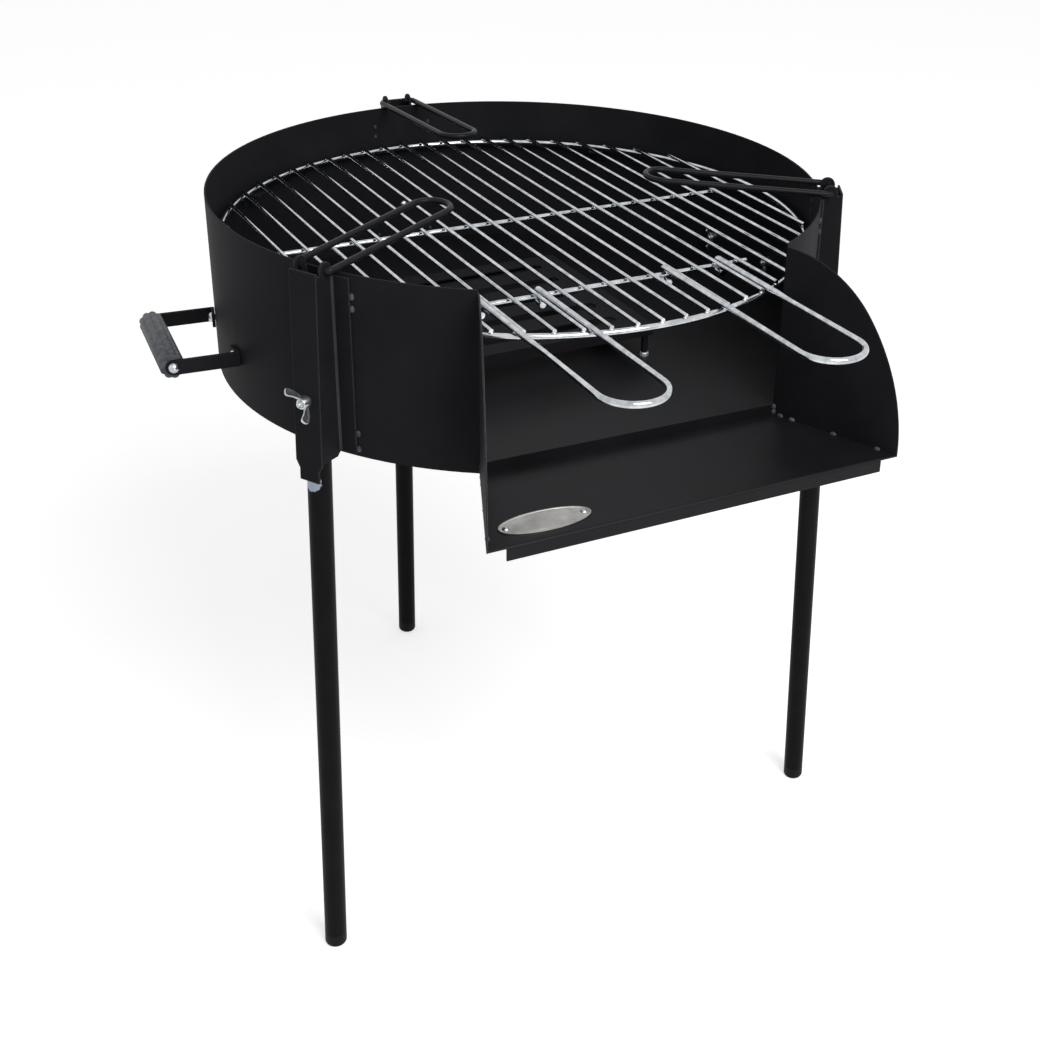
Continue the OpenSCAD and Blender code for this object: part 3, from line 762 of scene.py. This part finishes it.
@dataclass(frozen=True)
class ThreadedBolt:
    """A rolled bolt with a domed head, a plain shank and a real thread.

    Sizes are millimetres. The head's seat lies on the XY plane and the shank runs along +Z.
    """

    diameter: float = 6.0
    length: float = 44.0
    thread_l: float = 16.0
    pitch: float = 1.0
    thread_depth: float = 0.55
    tooth_rises: tuple[float, ...] = (0.42, 0.16, 0.42)
    end_chamfer: float = 0.6
    head_d: float = 10.0
    head_h: float = 3.5

    def head(self) -> Piece:
        """Models the domed head."""
        bpy.ops.mesh.primitive_uv_sphere_add(segments=40, ring_count=20, radius=self.head_d / 2)
        head = bpy.context.object
        with editing(head, start="SELECT"):
            bpy.ops.transform.resize(value=(1.0, 1.0, 2 * self.head_h / self.head_d))
            bpy.ops.mesh.bisect(plane_co=(0, 0, 0), plane_no=UP, clear_outer=True, use_fill=True)
        return head

    def shank(self) -> Piece:
        """Models the plain shank and the thread's core, with a chamfered end."""
        core_r = self.diameter / 2 - self.thread_depth
        plain = self.length - self.thread_l
        bpy.ops.mesh.primitive_cylinder_add(
            vertices=40, radius=self.diameter / 2, depth=plain, location=(0.0, 0.0, plain / 2)
        )
        shank = bpy.context.object
        bpy.ops.object.transform_apply(location=True)
        with editing(shank):
            pick_faces(shank, lambda middle, normal: normal.z > 0.9)
            bpy.ops.mesh.inset(thickness=self.thread_depth)
            extrude((0, 0, self.thread_l - self.pitch))
            extrude((0, 0, self.pitch))
            narrow = 1 - self.end_chamfer / core_r
            bpy.ops.transform.resize(value=(narrow, narrow, 1.0))
        return shank

    def thread(self) -> Piece:
        """Models the thread: a small tooth wound up the core."""
        core_r = self.diameter / 2 - self.thread_depth
        bpy.ops.mesh.primitive_plane_add(size=0.1)
        thread = bpy.context.object
        start = Vector((core_r - 0.05, 0.0, self.length - self.thread_l - self.pitch * 0.4))
        with editing(thread, "VERT", "SELECT"):
            bpy.ops.mesh.merge(type="CENTER")
            bpy.ops.transform.translate(value=start)
            for out, rise in zip((1, 0, -1), self.tooth_rises):
                extrude((out * self.thread_depth, 0.0, rise * self.pitch))
        apply_modifier(
            thread,
            "SCREW",
            axis="Z",
            screw_offset=self.pitch,
            iterations=int(self.thread_l / self.pitch) - 1,
            steps=28,
            render_steps=28,
            use_merge_vertices=True,
        )
        with editing(thread, "VERT", "SELECT"):
            bpy.ops.mesh.remove_doubles(threshold=0.01)
            bpy.ops.mesh.fill_holes(sides=0)
        return thread

    def model(self) -> Piece:
        """Models the whole bolt and returns it."""
        return join([self.shank(), self.head(), self.thread()])


@dataclass(frozen=True)
class WeldTack:
    """A short lumpy weld bead under the enamel or the zinc. Sizes are millimetres."""

    length: float = 7.0
    width: float = 5.0
    height: float = 2.2
    lumps: float = 0.5
    seed: int = 3

    def model(self, faces: int = 3) -> Piece:
        """Models one bead on the XY plane, long along Y.

        Args:
            faces: the sphere's subdivisions.

        Returns:
            The bead.
        """
        bpy.ops.mesh.primitive_ico_sphere_add(subdivisions=faces, radius=0.5)
        bead = bpy.context.object
        with editing(bead, "VERT", "SELECT"):
            bpy.ops.transform.resize(value=(self.width, self.length, 2 * self.height))
            bpy.ops.transform.vertex_random(offset=self.lumps, uniform=0.2, seed=self.seed)
            bpy.ops.mesh.vertices_smooth(factor=0.6, repeat=2)
        return bead


@dataclass
class FireDrum:
    """The rolled drum, its floor, the wings, the shelf and the welds. Sizes are millimetres."""

    radius: float = 300.0
    base_z: float = 560.0
    rim_z: float = 730.0
    lip_half: float = 31.0
    bracket_places: tuple[float, ...] = (210.0, 330.0, 90.0)
    lip_weld_gap: float = 1.2
    weld_heights: tuple[float, ...] = (7.0, 22.0, 139.0, 150.0)
    mouth_half_deg: float = 30.3
    front_turn_deg: float = -2.3
    wing_flare_deg: float = 22.85
    wing_skew_deg: float = 2.3
    wing_len: float = 133.0
    wing_welds: tuple[float, ...] = (0.06, 0.16, 0.5, 0.85)
    wing_weld_in: float = 1.8
    corner_welds: tuple[float, ...] = (2.6, 7.4)
    corner_weld_in: float = 1.7
    weld_stand: float = 0.3

    def bracket_weld_places(self) -> Iterator[Matrix]:
        """Gives a frame for each weld beside the brackets' lips."""
        spread = math.asin((self.lip_half + self.lip_weld_gap) / self.radius)
        for place in self.bracket_places:
            for side in (-1, 1):
                angle = math.radians(place) + side * spread
                out = Vector((math.cos(angle), math.sin(angle), 0.0))
                along = UP.cross(out)
                for height in self.weld_heights:
                    spot = out * self.radius + UP * (self.base_z + height)
                    yield upright_frame(spot, along, out)

    def wing_weld_places(self) -> Iterator[Matrix]:
        """Gives a frame for each weld along the wings' feet, and one up each corner."""
        turn = Matrix.Rotation(math.radians(self.front_turn_deg), 3, "Z")
        half = math.radians(self.mouth_half_deg)
        for side in (-1, 1):
            flare = math.radians(self.wing_flare_deg + side * self.wing_skew_deg)
            foot = Vector((side * math.sin(half), -math.cos(half), 0.0)) * self.radius
            foot.z = self.base_z
            along = Vector((side * math.sin(flare), -math.cos(flare), 0.0))
            inward = Vector((-side * math.cos(flare), -math.sin(flare), 0.0))
            lean = (inward + UP).normalized()
            for share in self.wing_welds:
                spot = foot + along * share * self.wing_len + inward * self.wing_weld_in
                spot += UP * self.weld_stand
                yield upright_frame(turn @ spot, turn @ lean.cross(along), turn @ lean)
            lean = (inward + along).normalized()
            for height in self.corner_welds:
                spot = foot + inward * self.corner_weld_in + along * self.weld_stand
                spot += UP * height
                yield upright_frame(turn @ spot, turn @ lean.cross(UP), turn @ lean)

    def build(self, finishes: Finishes) -> None:
        """Dresses the sheets and models the welds.

        Args:
            finishes: the grill's finishes.
        """
        finishes.dress(Finish.SHEET, "drum_wall", "right_wing", "grate_supports")
        finishes.dress(Finish.EDGE_HIGHLIGHTED, "left_wing")
        finishes.dress(Finish.SATIN, "drum_floor", "front_shelf")
        places = [*self.bracket_weld_places(), *self.wing_weld_places()]
        welds = set_out(WeldTack().model(), "tack_welds", places)
        finishes.hang(welds, Finish.WELD, ("weld_beads",), smooth_deg=60.0)


@dataclass
class Badge:
    """The bare pressed oval plate on the shelf and its rivets. Sizes are millimetres."""

    plate: str = "badge_plate"
    rivets: str = "badge_rivets"
    length: float = 84.0
    width: float = 33.0
    rim_h: float = 1.2
    turn_deg: float = -1.7
    steps: tuple[tuple[float, float], ...] = (
        (1.4, 0.0),
        (0.4, -0.45),
        (1.6, 0.0),
        (0.3, 0.2),
        (0.6, 0.0),
        (0.3, -0.2),
    )

    def model(self) -> Piece:
        """Models the plate: an oval disc whose top steps down inside a raised rim."""
        bpy.ops.mesh.primitive_cylinder_add(vertices=96, radius=0.5, depth=1.0)
        plate = bpy.context.object
        plate.scale = (self.length, self.width, self.rim_h)
        plate.location.z = self.rim_h / 2
        bpy.ops.object.transform_apply(location=True, scale=True)
        with editing(plate):
            pick_faces(plate, lambda middle, normal: normal.z > 0.9)
            for inset, rise in self.steps:
                bpy.ops.mesh.inset(thickness=inset, depth=rise)
        apply_modifier(plate, "BEVEL", width=0.2, segments=2, limit_method="ANGLE")
        return plate

    def build(self, finishes: Finishes) -> None:
        """Models the plate where its node lies, and dresses the rivets."""
        low, high = (Vector(corner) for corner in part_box(self.plate))
        middle = (low + high) / 2 / MM
        middle.z = low.z / MM
        turn = math.radians(self.turn_deg)
        right = Vector((math.cos(turn), math.sin(turn), 0.0))
        plate = set_out(self.model(), "oval_shelf_plate", [upright_frame(middle, right, UP)])
        finishes.hang(plate, Finish.BADGE, (self.plate,))
        finishes.dress(Finish.HARDWARE, self.rivets)


@dataclass
class FirePlate:
    """The slotted plate under the fire, its legs and its glides."""

    steel: tuple[str, ...] = ("fire_plate", "fire_plate_legs")
    glides: str = "fire_plate_glides"

    def build(self, finishes: Finishes) -> None:
        """Dresses the plate, its legs and its glides."""
        finishes.dress(Finish.FIRE_PLATE, *self.steel)
        finishes.dress(Finish.GLIDE, self.glides)


@dataclass
class LegSet:
    """Three legs in their brackets, with clamp bolts and wing nuts. Sizes are millimetres."""

    sides: tuple[str, ...] = ("left", "right", "rear")
    seat: float = 13.3
    drum_in_r: float = 298.5
    nut_turn_deg: float = 40.0
    cheek_y: float = 14.5
    lip_out_r: float = 302.1
    lip_z: tuple[float, float] = (563.0, 726.8)
    fold_r: float = 1.7
    fold_sunk: float = 0.6
    bolt_out: float = 11.0
    head_gap: float = 0.4

    @staticmethod
    def clamp_line(side: str) -> tuple[Vector, Vector]:
        """Gives a clamp bolt's line, from the joint of its nut.

        Args:
            side: left, right or rear.

        Returns:
            The joint's place in millimetres and the way out along the bolt.
        """
        joint = next(j for j in frame["joints"] if j["name"] == f"{side}_nut_turn")
        return Vector(joint["pos_m"]) / MM, Vector(joint["axis"]).normalized()

    def clamp_frame(self, side: str, lift: float, turn_deg: float = 0.0) -> Matrix:
        """Gives a frame on a clamp bolt's line.

        Args:
            side: left, right or rear.
            lift: how far out along the bolt the origin lies.
            turn_deg: turn about the bolt.

        Returns:
            The frame, with Z outwards along the bolt and X down the leg at no turn.
        """
        spot, out = self.clamp_line(side)
        level = UP.cross(out).normalized()
        down = level.cross(out)
        turn = math.radians(turn_deg)
        right = down * math.cos(turn) + level * math.sin(turn)
        return upright_frame(spot + out * lift, right, out)

    def fold_model(self) -> Piece:
        """Models the hollow round in the corner between a bracket's cheek and its lip."""
        size = self.fold_r + self.fold_sunk
        bpy.ops.mesh.primitive_cube_add(size=1.0)
        fold = bpy.context.object
        fold.scale = (size, size, self.lip_z[1] - self.lip_z[0])
        middle = size / 2 - self.fold_sunk
        fold.location = (middle, middle, sum(self.lip_z) / 2)
        bpy.ops.object.transform_apply(location=True, scale=True)
        with editing(fold, "EDGE"):
            pick_edges(fold, lambda a, b: min(a.x, a.y, b.x, b.y) > 0)
            bpy.ops.mesh.bevel(offset=self.fold_r, segments=8, profile=0.12)
        return fold

    def fold_places(self) -> Iterator[Matrix]:
        """Gives a frame for each corner between a bracket's cheek and its lip."""
        depth = math.sqrt(self.lip_out_r**2 - self.cheek_y**2)
        for side in self.sides:
            along = UP.cross(self.clamp_line(side)[1]).normalized()
            out = along.cross(UP)
            yield upright_frame(out * depth + along * self.cheek_y, out, UP)
            yield upright_frame(out * depth - along * self.cheek_y, -along, UP)

    def build(self, finishes: Finishes) -> None:
        """Dresses tubes, caps and brackets, and models the bolts and wing nuts."""
        for side in self.sides:
            finishes.dress(Finish.TUBE, f"{side}_leg")
            finishes.dress(Finish.FOLDED, f"{side}_leg_bracket")
            finishes.dress(Finish.PLASTIC, f"{side}_foot_cap")
            place = self.clamp_frame(side, self.seat, self.nut_turn_deg)
            nut = set_out(WingNut().model(), f"{side}_clamp_wing_nut", [place])
            body = Body[f"{side.upper()}_CLAMP_NUT"]
            finishes.hang(nut, Finish.HARDWARE, (f"{side}_wing_nut",), body)
        folds = set_out(self.fold_model(), "bracket_lip_folds", self.fold_places())
        # The folds' paler enamel is a painted highlight along the bend
        finishes.hang(folds, Finish.FOLD_HIGHLIGHT)
        reach = self.head_reach()
        bolt = ThreadedBolt(length=reach + self.seat + self.bolt_out)
        places = [self.clamp_frame(side, -reach) for side in self.sides]
        bolts = set_out(bolt.model(), "clamp_bolts_threaded", places)
        finishes.hang(bolts, Finish.HARDWARE, ("clamp_bolts",))

    def head_reach(self) -> float:
        """Gives the distance from the leg's middle to the bolt head's seat in the drum."""
        spot, out = self.clamp_line("rear")
        return (spot.y - self.drum_in_r) * out.y + self.head_gap


@dataclass
class PanArms:
    """Three folding arms of black rod that turn in the brackets' ears."""

    sides: tuple[str, ...] = ("left", "right", "rear")

    def build(self, finishes: Finishes) -> None:
        """Dresses the arms."""
        finishes.dress(Finish.ROD, *(f"{side}_paella_arm" for side in self.sides))


@dataclass
class CookingGrate:
    """The zinc wire grate, with the spot welds under its bars. Sizes are millimetres."""

    ring_r: float = 289.0
    ring_top: float = 688.0
    foot_sunk: float = 0.2
    bar_pitch: float = 23.9
    bar_shift: float = -4.7
    bars_each_side: int = 11
    front_bar: tuple[float, float] = (-185.0, 156.0)
    rear_bar: tuple[float, float] = (8.0, 242.0)

    def bar_places(self) -> list[float]:
        """Gives the bars' distances from the drum's axis."""
        count = self.bars_each_side
        return [self.bar_shift + i * self.bar_pitch for i in range(-count, count + 1)]

    def foot_places(self) -> Iterator[Matrix]:
        """Gives a frame for each bar's foot on the ring."""
        for x in self.bar_places():
            for side in (-1, 1):
                out = Vector((x, side * math.sqrt(self.ring_r**2 - x * x), 0.0))
                spot = out + UP * (self.ring_top - self.foot_sunk)
                yield upright_frame(spot, UP.cross(out).normalized(), UP)

    def crossing_places(self) -> Iterator[Matrix]:
        """Gives a frame for each weld between a bar and a cross bar."""
        for y, half in (self.front_bar, self.rear_bar):
            for x in self.bar_places():
                if abs(x - self.bar_shift) < half:
                    yield Matrix.Translation(Vector((x, y, self.ring_top)) * MM)

    def build(self, finishes: Finishes) -> None:
        """Dresses the wires and models the spot welds."""
        finishes.dress(Finish.WIRE, "grate_ring", "grate_bars", "grate_cross_bars")
        finishes.dress(Finish.WIRE, "left_grate_handle", "right_grate_handle")
        foot = WeldTack(length=4.6, width=6.6, height=1.5, lumps=0.16)
        crossing = WeldTack(length=4.4, width=4.4, height=0.8, lumps=0.1, seed=5)
        feet = set_out(foot.model(2), "bar_foot_welds", self.foot_places())
        crossings = set_out(crossing.model(2), "cross_bar_welds", self.crossing_places())
        for welds in (feet, crossings):
            finishes.hang(welds, Finish.WIRE, (), Body.GRATE, 60.0)


@dataclass(frozen=True)
class RibbedGrip:
    """A moulded grip with shallow round ribs and a bore for its bolt.

    Sizes are millimetres. It is drawn along Z, with its middle at the origin. The shares say how
    far the outline goes in at a groove, and one and two corners beside it.
    """

    length: float = 111.0
    rib_d: float = 23.4
    bore_d: float = 6.8
    ribs: int = 9
    corners_per_rib: int = 8
    groove_shares: tuple[float, ...] = (0.885, 0.94, 0.98)
    end_round: float = 0.9

    def model(self) -> Piece:
        """Models the grip: a tube with grooves pushed in along it and rounded ends."""
        corners = self.ribs * self.corners_per_rib
        step = 2 * math.pi / corners
        tubes = []
        for diameter in (self.rib_d, self.bore_d):
            bpy.ops.mesh.primitive_cylinder_add(
                vertices=corners, radius=diameter / 2, depth=self.length, end_fill_type="NOTHING"
            )
            tubes.append(bpy.context.object)
        grip = join(tubes)

        def from_groove(place: Vector) -> int:
            """Counts the corners from a place to the nearest groove."""
            phase = round(math.atan2(place.y, place.x) / step) % self.corners_per_rib
            return min(phase, self.corners_per_rib - phase)

        with editing(grip, "EDGE"):
            for count, share in enumerate(self.groove_shares):
                pick_edges(
                    grip,
                    lambda a, b, count=count: abs(a.z - b.z) > 1.0
                    and a.xy.length > self.bore_d
                    and from_groove(a) == count,
                )
                bpy.ops.transform.resize(value=(share, share, 1.0), center_override=(0, 0, 0))
            for side in (-1, 1):
                pick_edges(grip, lambda a, b, side=side: min(a.z * side, b.z * side) > 1.0)
                bpy.ops.mesh.bridge_edge_loops()
            pick_edges(
                grip,
                lambda a, b: abs(a.z - b.z) < 0.3
                and min(a.xy.length, b.xy.length) > self.bore_d,
            )
            bpy.ops.mesh.bevel(offset=self.end_round, segments=2)
        return grip


@dataclass
class SideHandles:
    """Two side handles: straps, ribbed grips, bolts and wing nuts. Sizes are millimetres."""

    angle_deg: float = 174.8
    foot_angle_deg: float = 9.343
    height_z: float = 606.0
    nut_seat_r: float = 298.3
    head_seat_r: float = 303.4
    bolt_l: float = 15.0
    bolt_thread_l: float = 11.0
    nut_turns_deg: tuple[float, float] = (5.0, 35.0)

    def foot_frames(self, seat_r: float, turns_deg: tuple[float, float]) -> Iterator[Matrix]:
        """Gives a frame at each foot of both handles, with Z into the drum.

        Args:
            seat_r: distance of the origin from the drum's axis.
            turns_deg: turn about Z at the front and rear foot.

        Yields:
            The frames.
        """
        for mirrored in (1, -1):
            for side, turn_deg in zip((-1, 1), turns_deg):
                angle = math.radians(self.angle_deg + side * self.foot_angle_deg)
                out = Vector((math.cos(angle), math.sin(angle), 0.0))
                turn = math.radians(turn_deg)
                across = UP.cross(out) * math.sin(turn) - UP * math.cos(turn)
                for vector in (out, across):
                    vector.x *= mirrored
                yield upright_frame(out * seat_r + UP * self.height_z, across, -out)

    def build_grips(self, finishes: Finishes) -> None:
        """Models both grips where their nodes lie."""
        for mirrored, name in ((1, "left"), (-1, "right")):
            low, high = (Vector(corner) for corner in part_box(f"{name}_grip"))
            angle = math.radians(self.angle_deg)
            out = Vector((mirrored * math.cos(angle), math.sin(angle), 0.0))
            place = upright_frame((low + high) / 2 / MM, out, UP.cross(out))
            grip = set_out(RibbedGrip().model(), f"{name}_ribbed_grip", [place])
            finishes.hang(grip, Finish.GRIP, (f"{name}_grip",))

    def build(self, finishes: Finishes) -> None:
        """Dresses the straps, and models the grips and the feet's bolts and wing nuts."""
        finishes.dress(Finish.SHEET, "left_handle_straps", "right_handle_straps")
        self.build_grips(finishes)
        finishes.dress(Finish.HARDWARE, "grip_bolts")
        small = WingNut(
            ear_path=((6.8, 5.8, 24.0, 1.05), (8.8, 8.4, 40.0, 1.2), (10.2, 11.2, 52.0, 1.05)),
            tip=(11.0, 13.2),
        )
        seats = self.foot_frames(self.nut_seat_r, self.nut_turns_deg)
        nuts = set_out(small.model(), "handle_foot_nuts", seats)
        bolt = ThreadedBolt(length=self.bolt_l, thread_l=self.bolt_thread_l)
        seats = self.foot_frames(self.head_seat_r, (0.0, 0.0))
        bolts = set_out(bolt.model(), "handle_foot_bolts", seats)
        finishes.hang(nuts, Finish.HARDWARE, ("handle_wing_nuts",))
        finishes.hang(bolts, Finish.HARDWARE, ("handle_bolts",))


@dataclass(frozen=True)
class PhotoCamera:
    """The camera of the reference view."""

    place_mm: Point = (-663.7, -1335.7, 1197.8)
    azimuth_deg: float = -31.84
    elevation_deg: float = 27.48
    roll_deg: float = 2.68
    lens_mm: float = 53.64
    shift: tuple[float, float] = (-0.1223, -0.0583)

    def build(self) -> Piece:
        """Adds the camera to the scene and returns it."""
        azimuth = math.radians(self.azimuth_deg)
        elevation = math.radians(self.elevation_deg)
        roll = math.radians(self.roll_deg)
        ahead = Vector(
            (
                -math.sin(azimuth) * math.cos(elevation),
                math.cos(azimuth) * math.cos(elevation),
                -math.sin(elevation),
            )
        )
        level = ahead.cross(UP).normalized()
        upright = level.cross(ahead)
        right = math.cos(roll) * level + math.sin(roll) * upright
        up = -math.sin(roll) * level + math.cos(roll) * upright
        data = bpy.data.cameras.new("reference_view")
        data.lens = self.lens_mm
        data.sensor_width = 36.0
        data.shift_x, data.shift_y = self.shift
        camera = bpy.data.objects.new("reference_view", data)
        turn = Matrix((right, up, -ahead)).transposed().to_4x4()
        camera.matrix_world = Matrix.Translation(Vector(self.place_mm) * MM) @ turn
        bpy.context.scene.collection.objects.link(camera)
        bpy.context.scene.camera = camera
        return camera


@dataclass(frozen=True)
class Lamp:
    """One square soft lamp that points at the drum, in metres and watts."""

    name: str
    place: Point
    size: float
    power: float
    aim: Point = (0.0, 0.0, 0.6)

    def build(self) -> None:
        """Adds the lamp."""
        data = bpy.data.lights.new(self.name, "AREA")
        data.size = self.size
        data.energy = self.power
        lamp = bpy.data.objects.new(self.name, data)
        lamp.location = self.place
        look = Vector(self.aim) - Vector(self.place)
        lamp.rotation_euler = look.to_track_quat("-Z", "Y").to_euler()
        bpy.context.scene.collection.objects.link(lamp)


@dataclass
class Studio:
    """A plain white floor, white air and one soft lamp."""

    floor_size: float = 14.0
    floor_colour: str = "#f2f2f2"
    white: str = "#ffffff"
    floor_glow: float = 0.6
    air_light: float = 0.35
    lamp: Lamp = Lamp("key_lamp", (0.2, -2.2, 2.6), 1.6, 60.0)

    @staticmethod
    def background_rays(add: AddNode) -> Node:
        """Gives 1 for camera, glossy and transmission rays, which show the background."""
        path = add("LightPath").outputs
        seen = path["Is Camera Ray"]
        for ray in ("Is Glossy Ray", "Is Transmission Ray"):
            seen = add("Math", links={0: seen, 1: path[ray]}, operation="MAXIMUM")
        return seen

    def floor(self) -> None:
        """Adds the floor, which keeps the grill's shadow and is white round it."""
        bpy.ops.mesh.primitive_plane_add(size=self.floor_size)
        floor = bpy.context.object
        floor.name = "studio_floor"
        material, add = new_material("matt_white_floor")
        seen = self.background_rays(add)
        glow = add("Math", {1: self.floor_glow}, {0: seen}, operation="MULTIPLY")
        colours = {"Base Color": srgb(self.floor_colour), "Emission Color": srgb(self.white)}
        shader = add(
            "BsdfPrincipled", {"Roughness": 0.9, **colours}, {"Emission Strength": glow}
        )
        add("OutputMaterial", links={"Surface": shader})
        floor.data.materials.append(material)

    def air(self) -> None:
        """Adds the world's light, white where it is seen."""
        world = bpy.data.worlds.new("studio_air")
        bpy.context.scene.world = world
        world.use_nodes = True
        world.node_tree.nodes.clear()
        add = partial(add_node, world.node_tree)
        seen = self.background_rays(add)
        strength = add("MapRange", {"To Min": self.air_light, "To Max": 1.0}, {"Value": seen})
        sky = add("Background", {"Color": srgb(self.white)}, {"Strength": strength})
        add("OutputWorld", links={"Surface": sky})

    def build(self) -> None:
        """Adds the floor, the air and the lamp."""
        bpy.context.scene.view_settings.view_transform = "Standard"
        self.floor()
        self.air()
        self.lamp.build()


def main() -> None:
    """Builds the grill's sub-assemblies in order, then the studio and the camera."""
    logging.basicConfig(level=logging.INFO, format="%(message)s")
    bpy.ops.object.select_all(action="DESELECT")
    finishes = Finishes()
    for assembly in (
        FireDrum(),
        Badge(),
        FirePlate(),
        LegSet(),
        PanArms(),
        CookingGrate(),
        SideHandles(),
    ):
        LOG.info("building %s", type(assembly).__name__)
        assembly.build(finishes)
    Studio().build()
    PhotoCamera().build()


if __name__ == "__main__":
    main()
